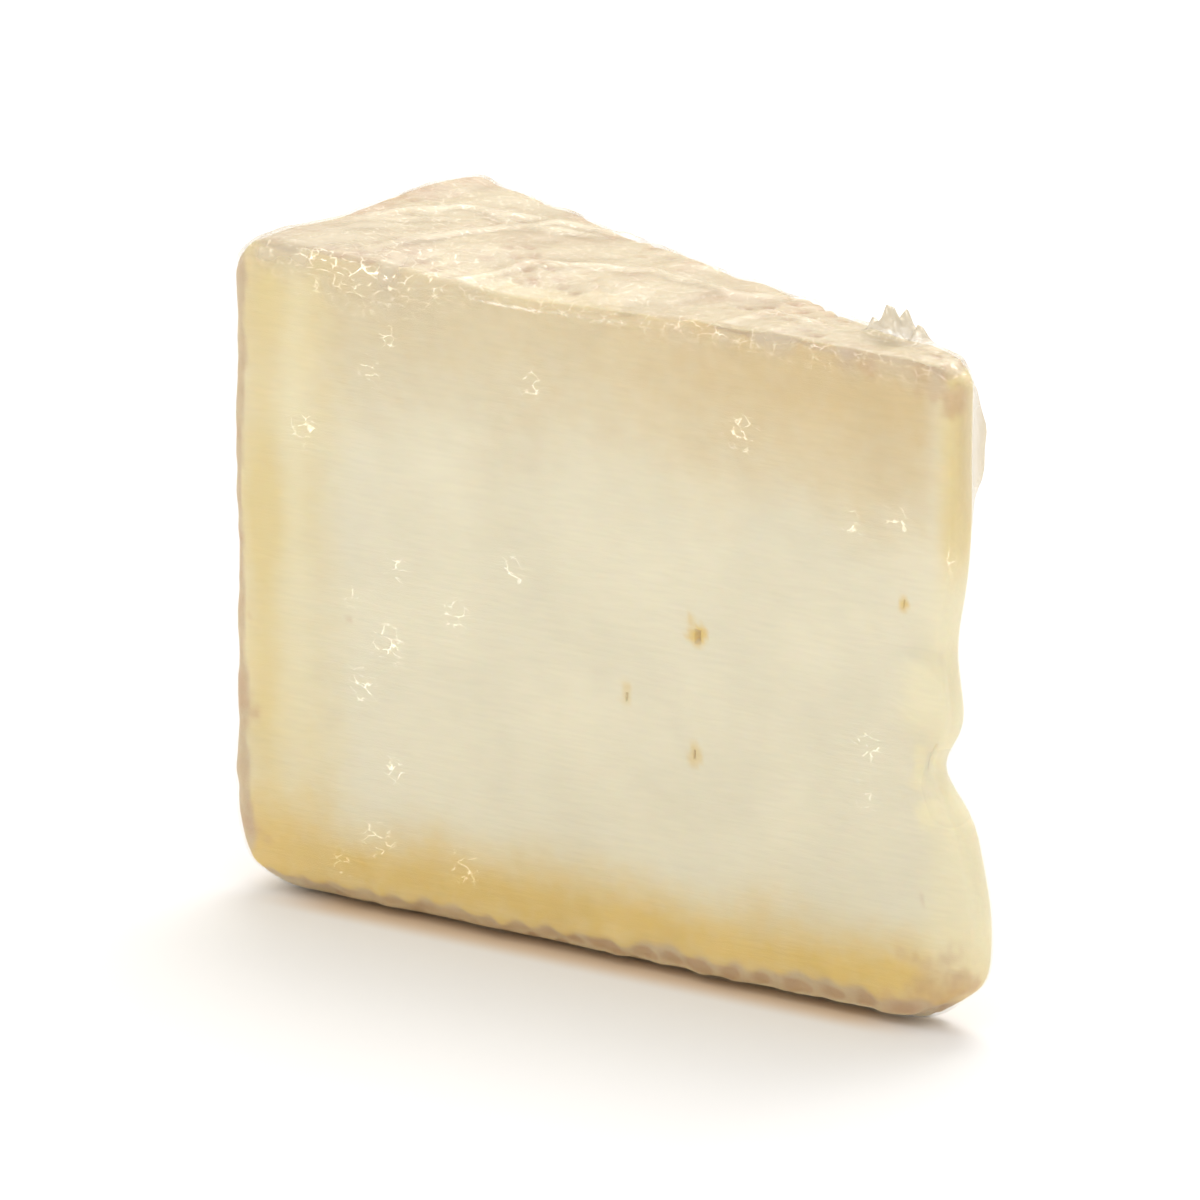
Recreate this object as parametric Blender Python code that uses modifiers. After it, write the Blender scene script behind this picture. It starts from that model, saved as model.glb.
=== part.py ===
"""A wedge of soft-ripened cheese that stands on its rind, wrapped in cling film.

Units are metres and +Z is up.  The wedge is first shaped in the frame of the wheel that
it was cut from: the wheel's axis is the Z axis and the wheel stands on Z = 0.  The front
cut face lies in the XZ plane and looks along -Y, the point is at the +X end and the rind
of the rim at the -X end.  Both pieces are then placed so that the origin is the middle
of the underside of the whole thing.
"""
import math
from dataclasses import dataclass

import bmesh
import bpy
from mathutils import Vector

# The wheel and the cut
WHEEL_RADIUS = 0.100
WHEEL_HEIGHT = 0.070
WEDGE_ANGLE = math.radians(20.0)
TIP_RADIUS = 0.009              # the blunt point starts this far from the wheel's axis

# Roundings
CUT_EDGE_ROUNDING = 0.0018      # where a cut face meets the rind
RIM_TOP_SHOULDER = 0.006        # where the rim meets the wheel's flat faces
RIM_FOOT_SHOULDER = 0.008
TIP_TOP_CORNER = 0.003
TIP_FOOT_CORNER = 0.006
TIP_HALF_WIDTH = TIP_RADIUS * math.tan(WEDGE_ANGLE / 2.0)
TIP_ROUNDING_REACH = 0.008      # how far from the point its rounding fades out

# The cling film
FILM_GAP = 0.0003
FILM_THICKNESS = 0.0002
LAP_NEAR_RADIUS = 0.050         # the film's open seam, on the back cut face
LAP_FAR_RADIUS = 0.060
LAP_WIDTH = 0.016
LAP_LIFT = 0.0007
LAP_END_MARGIN = 0.006
GATHER_NEAR_RADIUS = 0.012      # the pinch of film on top, close to the point
GATHER_FAR_RADIUS = 0.023
GATHER_HEIGHT = 0.0022
GATHER_TAPER = 0.45
FLAT_FACE_UPRIGHTNESS = 0.98    # a face this upright belongs to the flat top

# Grid of the wedge, as cells along the length, the width and the height
CELLS = (16, 6, 22)
EDGE_CROWDING = (0.80, 0.85, 0.70)   # 0 spaces the cells evenly, 1 crowds them to the ends

LENGTH = WHEEL_RADIUS - TIP_RADIUS
WIDTH = WHEEL_RADIUS * WEDGE_ANGLE
HALF_SIZE = Vector((LENGTH, WIDTH, WHEEL_HEIGHT)) / 2.0


@dataclass(frozen=True)
class Corner:
    """A rounded corner of the wedge's side outline, at a distance from the axis and a height."""

    radius_at: float
    height_at: float
    size: float


@dataclass(frozen=True)
class SoftSpot:
    """A place where the cheese has sagged: its centre, how far it reaches and its push."""

    centre: tuple
    reach: tuple
    push: tuple


CORNERS = (
    Corner(WHEEL_RADIUS, WHEEL_HEIGHT, RIM_TOP_SHOULDER),
    Corner(WHEEL_RADIUS, 0.0, RIM_FOOT_SHOULDER),
    Corner(TIP_RADIUS, WHEEL_HEIGHT, TIP_TOP_CORNER),
    Corner(TIP_RADIUS, 0.0, TIP_FOOT_CORNER),
)

TIP_FOOT = SoftSpot((-TIP_RADIUS, 0.001, 0.010), (0.014, 0.020, 0.011), (0.0028, 0.0, 0.0))
TIP_NOTCH = SoftSpot((-TIP_RADIUS, 0.001, 0.0282), (0.008, 0.020, 0.0046), (-0.0046, 0.0, 0.0))
TIP_WAIST = SoftSpot((-TIP_RADIUS, 0.001, 0.0410), (0.010, 0.020, 0.0060), (-0.0020, 0.0, 0.0))
TOP_EDGE_SAG = SoftSpot((-0.066, 0.000, 0.070), (0.019, 0.006, 0.008), (0.0, 0.0006, -0.0016))
CHEESE_SPOTS = (TIP_FOOT, TIP_NOTCH, TIP_WAIST, TOP_EDGE_SAG)

# The film bridges a little of each hollow and stands off the point as a fold
FILM_FOLD = SoftSpot((-TIP_RADIUS, 0.002, 0.062), (0.003, 0.010, 0.006), (0.0014, 0.0, 0.0))
NOTCH_BRIDGE = SoftSpot(TIP_NOTCH.centre, TIP_NOTCH.reach, (0.0006, 0.0, 0.0))
FILM_SPOTS = (FILM_FOLD, NOTCH_BRIDGE)


def clear_scene():
    """Remove every object that the scene starts with."""
    for obj in list(bpy.data.objects):
        bpy.data.objects.remove(obj, do_unlink=True)


def new_collection(name):
    """Return a new collection in the scene."""
    collection = bpy.data.collections.new(name)
    bpy.context.scene.collection.children.link(collection)
    return collection


def make_material(name, colour, roughness, alpha=1.0):
    """Return a Principled material; `colour` is linear RGB."""
    material = bpy.data.materials.new(name)
    material.use_nodes = True
    shader = material.node_tree.nodes["Principled BSDF"]
    shader.inputs["Base Color"].default_value = (*colour, 1.0)
    shader.inputs["Roughness"].default_value = roughness
    shader.inputs["Metallic"].default_value = 0.0
    shader.inputs["Alpha"].default_value = alpha
    material.diffuse_color = (*colour, alpha)
    return material


def axis_edges(bm, axis):
    """Return the edges that run along one axis of the box."""
    return [edge for edge in bm.edges
            if abs((edge.verts[1].co - edge.verts[0].co)[axis]) > 0.5 * edge.calc_length()]


def crowd(position, crowding):
    """Move a position between -1 and 1 towards the nearer end, so that cells crowd there."""
    return (1.0 - crowding) * position + crowding * math.sin(math.pi * position / 2.0)


def box_grid():
    """Return a box of the wedge's length, rim width and height, cut into a grid of cells."""
    bm = bmesh.new()
    bmesh.ops.create_cube(bm, size=2.0)
    for axis, cells in enumerate(CELLS):
        bmesh.ops.subdivide_edges(bm, edges=axis_edges(bm, axis), cuts=cells - 1,
                                  use_grid_fill=True)
    for vert in bm.verts:
        vert.co = Vector([crowd(vert.co[axis], EDGE_CROWDING[axis]) * HALF_SIZE[axis]
                          for axis in range(3)])
    return bm


def round_edges(point):
    """Round the box's edges: carry a point outside the inner box onto its rounded skin."""
    inner_size = HALF_SIZE - Vector((CUT_EDGE_ROUNDING,) * 3)
    inner = Vector([max(-inner_size[axis], min(inner_size[axis], point[axis]))
                    for axis in range(3)])
    outward = point - inner
    return inner + outward.normalized() * CUT_EDGE_ROUNDING


def round_corner(radius, height, corner):
    """Press the square at one corner of the side outline into a quarter circle."""
    inward = 1.0 if corner.radius_at < WHEEL_RADIUS / 2.0 else -1.0
    centre_radius = corner.radius_at + inward * corner.size
    rise = 1.0 if corner.height_at < WHEEL_HEIGHT / 2.0 else -1.0
    centre_height = corner.height_at + rise * corner.size
    along = (centre_radius - radius) * inward / corner.size
    up = (centre_height - height) * rise / corner.size
    if along <= 0.0 or up <= 0.0:
        return radius, height
    pressed_along = along * math.sqrt(1.0 - up * up / 2.0)
    pressed_up = up * math.sqrt(1.0 - along * along / 2.0)
    return (centre_radius - inward * pressed_along * corner.size,
            centre_height - rise * pressed_up * corner.size)


def wedge_point(point):
    """Carry a point of the rounded box to the wedge, in the frame of the wheel."""
    point = round_edges(point)
    radius = TIP_RADIUS + HALF_SIZE.x - point.x
    height = point.z + HALF_SIZE.z
    for corner in CORNERS:
        radius, height = round_corner(radius, height, corner)
    across = point.y / HALF_SIZE.y
    fade = max(0.0, 1.0 - (radius - TIP_RADIUS) / TIP_ROUNDING_REACH)
    radius += TIP_HALF_WIDTH * (1.0 - math.sqrt(max(0.0, 1.0 - across * across))) * fade
    angle = WEDGE_ANGLE * (across + 1.0) / 2.0
    return Vector((-radius * math.cos(angle), radius * math.sin(angle), height))


def press(point, spots):
    """Return a point moved by every soft spot that reaches it."""
    moved = point.copy()
    for spot in spots:
        away = [(point[axis] - spot.centre[axis]) / spot.reach[axis] for axis in range(3)]
        strength = math.exp(-sum(step * step for step in away))
        moved += Vector(spot.push) * strength
    return moved


def wheel_radius_of(point):
    """Return a point's distance from the wheel's axis."""
    return math.hypot(point.x, point.y)


def finish_mesh(bm, name, material, collection):
    """Turn a bmesh into a smooth-shaded object."""
    mesh = bpy.data.meshes.new(name)
    bm.to_mesh(mesh)
    bm.free()
    mesh.shade_smooth()
    mesh.materials.append(material)
    obj = bpy.data.objects.new(name, mesh)
    collection.objects.link(obj)
    return obj


def make_cheese(collection):
    """The wedge itself: white mould rind and ivory paste, grown as one piece."""
    bm = box_grid()
    for vert in bm.verts:
        vert.co = press(wedge_point(vert.co), CHEESE_SPOTS)
    material = make_material("soft_ripened_cheese", (0.78, 0.69, 0.49), 0.55)
    return finish_mesh(bm, "cheese_wedge", material, collection)


def open_seam(bm):
    """Cut the seam out of the back face and return the edges of its side near the point."""
    def on_back(face):
        return face.calc_center_median().y > HALF_SIZE.y - CUT_EDGE_ROUNDING / 2.0

    def in_seam(face):
        centre = face.calc_center_median()
        radius = TIP_RADIUS + HALF_SIZE.x - centre.x
        return (LAP_NEAR_RADIUS < radius < LAP_FAR_RADIUS
                and abs(centre.z) < HALF_SIZE.z - LAP_END_MARGIN)

    seam = [face for face in bm.faces if on_back(face) and in_seam(face)]
    bmesh.ops.delete(bm, geom=seam, context="FACES_ONLY")
    loose = [edge for edge in bm.edges if not edge.link_faces]
    bmesh.ops.delete(bm, geom=loose, context="EDGES")
    rim = [edge for edge in bm.edges if edge.is_boundary]
    near_x = max(vert.co.x for edge in rim for vert in edge.verts)
    return [edge for edge in rim
            if all(abs(vert.co.x - near_x) < CUT_EDGE_ROUNDING / 10.0 for vert in edge.verts)]


def extrude_by(bm, edges, offset):
    """Pull a strip of film out of some boundary edges and return its new edges."""
    made = bmesh.ops.extrude_edge_only(bm, edges=edges)["geom"]
    verts = [item for item in made if isinstance(item, bmesh.types.BMVert)]
    bmesh.ops.translate(bm, vec=offset, verts=verts)
    return [item for item in made
            if isinstance(item, bmesh.types.BMEdge) and all(v in verts for v in item.verts)]


def add_lap(bm, edges):
    """Lay the film's loose end over the seam, a little clear of the layer below it."""
    outward = Vector((math.sin(WEDGE_ANGLE), math.cos(WEDGE_ANGLE), 0.0))
    towards_rim = Vector((-math.cos(WEDGE_ANGLE), math.sin(WEDGE_ANGLE), 0.0))
    lifted = extrude_by(bm, edges, (outward + towards_rim) * LAP_LIFT)
    extrude_by(bm, lifted, towards_rim * LAP_WIDTH)


def add_gather(bm):
    """Pinch the film on top of the wedge into a small peak."""
    faces = [face for face in bm.faces
             if face.normal.z > FLAT_FACE_UPRIGHTNESS
             and GATHER_NEAR_RADIUS < wheel_radius_of(face.calc_center_median())
             < GATHER_FAR_RADIUS]
    made = bmesh.ops.extrude_face_region(bm, geom=faces)["geom"]
    bmesh.ops.delete(bm, geom=faces, context="FACES")
    peak = [item for item in made if isinstance(item, bmesh.types.BMVert)]
    middle = sum((vert.co for vert in peak), Vector()) / len(peak)
    for vert in peak:
        vert.co = middle + (vert.co - middle) * GATHER_TAPER
        vert.co.z += GATHER_HEIGHT


def make_film(collection):
    """The cling film: one sheet drawn round the cheese, with its loose end on the back."""
    bm = box_grid()
    seam_edges = open_seam(bm)
    for vert in bm.verts:
        vert.co = press(wedge_point(vert.co), CHEESE_SPOTS)
    bm.normal_update()
    normals = [vert.normal.copy() for vert in bm.verts]
    for vert, normal in zip(bm.verts, normals):
        vert.co = press(vert.co + normal * FILM_GAP, FILM_SPOTS)
    add_lap(bm, seam_edges)
    add_gather(bm)
    bmesh.ops.recalc_face_normals(bm, faces=bm.faces)
    material = make_material("cling_film", (0.90, 0.92, 0.93), 0.10, alpha=0.25)
    film = finish_mesh(bm, "film_wrap", material, collection)
    wall = film.modifiers.new("Film thickness", "SOLIDIFY")
    wall.thickness = FILM_THICKNESS
    wall.offset = 1.0
    return film


def place(pieces):
    """Move the pieces so that the origin is the middle of the whole thing's underside."""
    depsgraph = bpy.context.evaluated_depsgraph_get()
    points = []
    for piece in pieces:
        evaluated = piece.evaluated_get(depsgraph)
        points += [vert.co.copy() for vert in evaluated.to_mesh().vertices]
        evaluated.to_mesh_clear()
    low = Vector([min(point[axis] for point in points) for axis in range(3)])
    high = Vector([max(point[axis] for point in points) for axis in range(3)])
    middle = (low + high) / 2.0
    for piece in pieces:
        piece.location = (-middle.x, -middle.y, -low.z)


def main():
    """Make both pieces and place them."""
    clear_scene()
    collection = new_collection("cheese_wedge_in_film")
    cheese = make_cheese(collection)
    film = make_film(collection)
    place((cheese, film))


main()
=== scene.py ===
"""The looks of a wedge of soft-ripened cheese in cling film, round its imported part.

Metres throughout, +Z up.  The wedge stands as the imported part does: its front cut face
looks along -Y, its point is at the +X end and the rind of the wheel's rim at the -X end.
"""
import logging
import math
from dataclasses import dataclass, field
from enum import Enum

import bmesh
import bpy
import numpy as np
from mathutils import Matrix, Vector, noise


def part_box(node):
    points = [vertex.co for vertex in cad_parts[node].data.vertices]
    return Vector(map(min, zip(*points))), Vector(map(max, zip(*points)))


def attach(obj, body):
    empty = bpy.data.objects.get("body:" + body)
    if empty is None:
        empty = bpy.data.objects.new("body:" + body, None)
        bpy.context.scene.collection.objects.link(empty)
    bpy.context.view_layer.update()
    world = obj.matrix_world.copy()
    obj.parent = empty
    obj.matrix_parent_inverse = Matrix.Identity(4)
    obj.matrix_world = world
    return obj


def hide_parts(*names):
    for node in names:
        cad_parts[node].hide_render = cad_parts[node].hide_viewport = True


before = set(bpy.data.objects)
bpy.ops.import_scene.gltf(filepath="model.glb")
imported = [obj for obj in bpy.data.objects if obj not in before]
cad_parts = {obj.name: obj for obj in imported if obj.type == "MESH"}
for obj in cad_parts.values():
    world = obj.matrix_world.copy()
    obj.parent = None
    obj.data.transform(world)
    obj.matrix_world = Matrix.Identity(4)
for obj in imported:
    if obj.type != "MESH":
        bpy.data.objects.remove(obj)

LOG = logging.getLogger("cheese_wedge")
MM = 0.001


class Axis(Enum):
    """The three axes, as an index into a point."""

    X = 0
    Y = 1
    Z = 2


# --------------------------------------------------------------------------- helpers


def linear_colour(hex_colour: str) -> tuple[float, float, float, float]:
    """Turn an sRGB hex colour into the linear RGBA that shader sockets hold.

    Args:
        hex_colour: A colour such as "E6DCBE".

    Returns:
        Linear red, green, blue and an alpha of 1.
    """
    channels = [int(hex_colour[at:at + 2], 16) / 255.0 for at in (0, 2, 4)]
    linear = [c / 12.92 if c <= 0.04045 else ((c + 0.055) / 1.055) ** 2.4 for c in channels]
    return (*linear, 1.0)


def smooth_step(low: float, high: float, value: np.ndarray) -> np.ndarray:
    """Rise smoothly from 0 at `low` to 1 at `high`; `high` may be the smaller of the two."""
    t = np.clip((value - low) / (high - low), 0.0, 1.0)
    return t * t * (3.0 - 2.0 * t)


def noise_at(points: np.ndarray, size: float, seed: float, octaves: int = 1) -> np.ndarray:
    """Sample smooth noise at many points.

    Args:
        points: Points, as an (n, 3) array in metres.
        size: Size of one lump of the noise, in metres.
        seed: Moves the sample to another part of the noise.
        octaves: How many layers, each half the size of the last.

    Returns:
        One value for each point, about -1 to 1.
    """
    total = np.zeros(len(points))
    for octave in range(octaves):
        scaled = points * (2.0 ** octave / size) + seed * (1.0 + octave)
        layer = np.array([noise.noise(Vector(point)) for point in scaled])
        total += layer * 1.6 / 2.0 ** octave
    return total


def deselect_all() -> None:
    """Leave object mode and select nothing."""
    if bpy.context.object is not None and bpy.context.object.mode != "OBJECT":
        bpy.ops.object.mode_set(mode="OBJECT")
    bpy.ops.object.select_all(action="DESELECT")


def make_active(obj: bpy.types.Object) -> None:
    """Select one object alone and make it the active one.

    Args:
        obj: The object.
    """
    deselect_all()
    obj.select_set(True)
    bpy.context.view_layer.objects.active = obj


def read_points(obj: bpy.types.Object) -> np.ndarray:
    """Read an object's vertices.

    Args:
        obj: A mesh object.

    Returns:
        The vertices, as an (n, 3) array in metres.
    """
    flat = np.empty(len(obj.data.vertices) * 3)
    obj.data.vertices.foreach_get("co", flat)
    return flat.reshape(-1, 3)


def write_points(obj: bpy.types.Object, points: np.ndarray) -> None:
    """Move an object's vertices to an (n, 3) array of points."""
    obj.data.vertices.foreach_set("co", np.ascontiguousarray(points).ravel())
    obj.data.update()


def read_normals(obj: bpy.types.Object) -> np.ndarray:
    """Read an object's vertex normals.

    Args:
        obj: A mesh object.

    Returns:
        The normals, as an (n, 3) array.
    """
    flat = np.empty(len(obj.data.vertices) * 3)
    obj.data.vertices.foreach_get("normal", flat)
    return flat.reshape(-1, 3)


def write_attribute(obj: bpy.types.Object, name: str, values: np.ndarray) -> None:
    """Store one number for each vertex, for the material to read."""
    attribute = obj.data.attributes.new(name, "FLOAT", "POINT")
    attribute.data.foreach_set("value", np.ascontiguousarray(values, dtype=np.float32))


# --------------------------------------------------------------------------- the shape


@dataclass(frozen=True)
class Corner:
    """A rounded corner of the wedge's side outline: where it is and how large."""

    radius_at: float
    height_at: float
    size: float


@dataclass(frozen=True)
class SoftSpot:
    """A place that has sagged: its centre, how far it reaches and its push, in metres."""

    centre: tuple[float, float, float]
    reach: tuple[float, float, float]
    push: tuple[float, float, float]

    def strength(self, points: np.ndarray) -> np.ndarray:
        """Return how strongly the spot acts on each point, from 0 to 1."""
        away = (points - np.array(self.centre)) / np.array(self.reach)
        return np.exp(-np.sum(away * away, axis=1))


@dataclass(frozen=True)
class WedgeShape:
    """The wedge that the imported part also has, in the frame of the wheel it was cut from.

    The wheel's axis is the Z axis here and the wheel stands on Z = 0.
    """

    wheel_radius: float = 0.100
    height: float = 0.070
    angle: float = math.radians(20.0)
    tip_radius: float = 0.009
    cut_edge_rounding: float = 0.0018
    rim_top_shoulder: float = 0.005
    rim_foot_shoulder: float = 0.008
    tip_top_corner: float = 0.003
    tip_foot_corner: float = 0.0072
    tip_rounding_reach: float = 0.008
    foot_sink: float = 0.00042
    foot_sink_reach: float = 0.004
    foot_edge_lift: float = 0.00100
    foot_edge_reach: float = 0.0026
    spots: tuple[SoftSpot, ...] = (
        SoftSpot((-0.009, 0.001, 0.0100), (0.014, 0.020, 0.0110), (0.0028, 0.0, 0.0)),
        SoftSpot((-0.009, 0.001, 0.0270), (0.008, 0.020, 0.0036), (-0.0030, 0.0, 0.0)),
        SoftSpot((-0.009, 0.001, 0.0400), (0.010, 0.020, 0.0070), (-0.0016, 0.0, 0.0)),
        SoftSpot((-0.066, 0.000, 0.0700), (0.019, 0.006, 0.0080), (0.0, 0.0006, -0.0016)),
        SoftSpot((-0.096, 0.0135, 0.0700), (0.010, 0.0045, 0.0120), (0.0003, 0.0, -0.0006)),
        SoftSpot((-0.092, 0.0290, 0.0700), (0.009, 0.0060, 0.0100), (-0.0003, 0.0, 0.0005)),
        SoftSpot((-0.0100, 0.0010, 0.0000), (0.0050, 0.0200, 0.0040), (0.0, 0.0, 0.0009)),
    )

    @property
    def half_size(self) -> np.ndarray:
        """Half the length, rim width and height of the box that the wedge starts from."""
        length = self.wheel_radius - self.tip_radius
        return np.array([length, self.wheel_radius * self.angle, self.height]) / 2.0

    def _corners(self) -> tuple[Corner, ...]:
        """List the rounded corners of the side outline.

        Returns:
            The rim's top and foot, then the point's top and foot.
        """
        return (
            Corner(self.wheel_radius, self.height, self.rim_top_shoulder),
            Corner(self.wheel_radius, 0.0, self.rim_foot_shoulder),
            Corner(self.tip_radius, self.height, self.tip_top_corner),
            Corner(self.tip_radius, 0.0, self.tip_foot_corner),
        )

    def _round_edges(self, box: np.ndarray) -> np.ndarray:
        """Round the box's edges by carrying each point onto the skin of an inner box.

        Args:
            box: Points on the box, as an (n, 3) array.

        Returns:
            The points on the rounded box.
        """
        limit = self.half_size - self.cut_edge_rounding
        inner = np.clip(box, -limit, limit)
        outward = box - inner
        length = np.linalg.norm(outward, axis=1, keepdims=True)
        return inner + outward / length * self.cut_edge_rounding

    def _round_corner(self, radius: np.ndarray, height: np.ndarray, corner: Corner
                      ) -> tuple[np.ndarray, np.ndarray]:
        """Press the square at one corner of the side outline into a quarter circle.

        Args:
            radius: How far each point is from the wheel's axis.
            height: How high each point is.
            corner: The corner to round.

        Returns:
            The new radius and height of each point.
        """
        inward = 1.0 if corner.radius_at < self.wheel_radius / 2.0 else -1.0
        rise = 1.0 if corner.height_at < self.height / 2.0 else -1.0
        centre_radius = corner.radius_at + inward * corner.size
        centre_height = corner.height_at + rise * corner.size
        along = np.clip((centre_radius - radius) * inward / corner.size, 0.0, 1.0)
        up = np.clip((centre_height - height) * rise / corner.size, 0.0, 1.0)
        inside = (along > 0.0) & (up > 0.0)
        pressed_along = along * np.sqrt(1.0 - up * up / 2.0)
        pressed_up = up * np.sqrt(1.0 - along * along / 2.0)
        return (np.where(inside, centre_radius - inward * pressed_along * corner.size, radius),
                np.where(inside, centre_height - rise * pressed_up * corner.size, height))

    def carry(self, box: np.ndarray) -> np.ndarray:
        """Carry points on the skin of the box to the skin of the wedge.

        Args:
            box: Points on the box, as an (n, 3) array, centred on the box's middle.

        Returns:
            The same points in the frame of the wheel.
        """
        point = self._round_edges(box)
        radius = self.tip_radius + self.half_size[0] - point[:, 0]
        height = point[:, 2] + self.half_size[2]
        for corner in self._corners():
            radius, height = self._round_corner(radius, height, corner)
        across = np.clip(point[:, 1] / self.half_size[1], -1.0, 1.0)
        fade = np.clip(1.0 - (radius - self.tip_radius) / self.tip_rounding_reach, 0.0, 1.0)
        tip_half_width = self.tip_radius * math.tan(self.angle / 2.0)
        radius = radius + tip_half_width * (1.0 - np.sqrt(1.0 - across * across)) * fade
        angle = self.angle * (across + 1.0) / 2.0
        carried = np.stack([-radius * np.cos(angle), radius * np.sin(angle), height], axis=1)
        moved = carried.copy()
        for spot in self.spots:
            moved += spot.strength(carried)[:, None] * np.array(spot.push)
        near_foot = np.exp(-(carried[:, 2] / self.foot_sink_reach) ** 2)
        from_cut = radius * self.angle * (1.0 - np.abs(across)) / 2.0
        edge_lift = self.foot_edge_lift * np.exp(-(from_cut / self.foot_edge_reach) ** 2)
        moved[:, 2] += (edge_lift - self.foot_sink) * near_foot
        return moved


@dataclass(frozen=True)
class WheelPlace:
    """Where the wheel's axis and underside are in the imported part's frame."""

    origin: np.ndarray

    @classmethod
    def of_part(cls, shape: WedgeShape) -> "WheelPlace":
        """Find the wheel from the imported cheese's box: the rim is its -X end."""
        low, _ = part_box("cheese_wedge")
        return cls(np.array([low[0] + shape.wheel_radius, low[1], low[2]]))


def box_grid(name: str, half_size: np.ndarray, cells: tuple[tuple[int, int], ...],
             crowding: tuple[float, float, float]) -> bpy.types.Object:
    """Model a box whose skin is cut into a grid of cells.

    Args:
        name: Name of the new object.
        half_size: Half the box's length, width and height.
        cells: For each axis, two numbers of cells, one within the other.
        crowding: For each axis, how much the cells crowd to the ends, from 0 to 1.

    Returns:
        The box, with its middle at the origin.
    """
    deselect_all()
    bpy.ops.mesh.primitive_cube_add(size=2.0)
    box = bpy.context.object
    box.name = name
    bpy.ops.object.mode_set(mode="EDIT")
    for axis in Axis:
        for count in cells[axis.value]:
            select_edges_along(box, axis)
            bpy.ops.mesh.subdivide(number_cuts=count - 1)
    bpy.ops.object.mode_set(mode="OBJECT")
    points = read_points(box)
    for axis in Axis:
        crowd = crowding[axis.value]
        along = points[:, axis.value]
        points[:, axis.value] = (1.0 - crowd) * along + crowd * np.sin(math.pi * along / 2.0)
    write_points(box, points * half_size)
    return box


def select_edges_along(box: bpy.types.Object, axis: Axis) -> None:
    """Select, in edit mode, the edges of a box grid that run along one axis.

    Args:
        box: The box grid.
        axis: The axis.
    """
    bpy.ops.mesh.select_mode(type="EDGE")
    bpy.ops.mesh.select_all(action="DESELECT")
    bm = bmesh.from_edit_mesh(box.data)
    for edge in bm.edges:
        run = edge.verts[1].co - edge.verts[0].co
        edge.select_set(abs(run[axis.value]) > 0.5 * run.length)
    bmesh.update_edit_mesh(box.data)


# --------------------------------------------------------------------------- materials


def add_node(tree: bpy.types.NodeTree, kind: str, inputs: dict | None = None,
             **settings: object) -> bpy.types.Node:
    """Add a shader node with its settings, values and links.

    Args:
        tree: The material's node tree.
        kind: The node's type, such as "ShaderNodeBump".
        inputs: For each input, by name or number, a value or the socket that feeds it.
        settings: The node's own properties.

    Returns:
        The new node.
    """
    node = tree.nodes.new(kind)
    for name, value in settings.items():
        setattr(node, name, value)
    for key, value in (inputs or {}).items():
        if isinstance(value, bpy.types.NodeSocket):
            tree.links.new(value, node.inputs[key])
        else:
            node.inputs[key].default_value = value
    return node


def new_tree(name: str) -> tuple[bpy.types.Material, bpy.types.NodeTree]:
    """Start a node material.

    Args:
        name: The material's name.

    Returns:
        The material and its empty tree.
    """
    material = bpy.data.materials.new(name)
    material.use_nodes = True
    material.node_tree.nodes.clear()
    return material, material.node_tree


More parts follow.
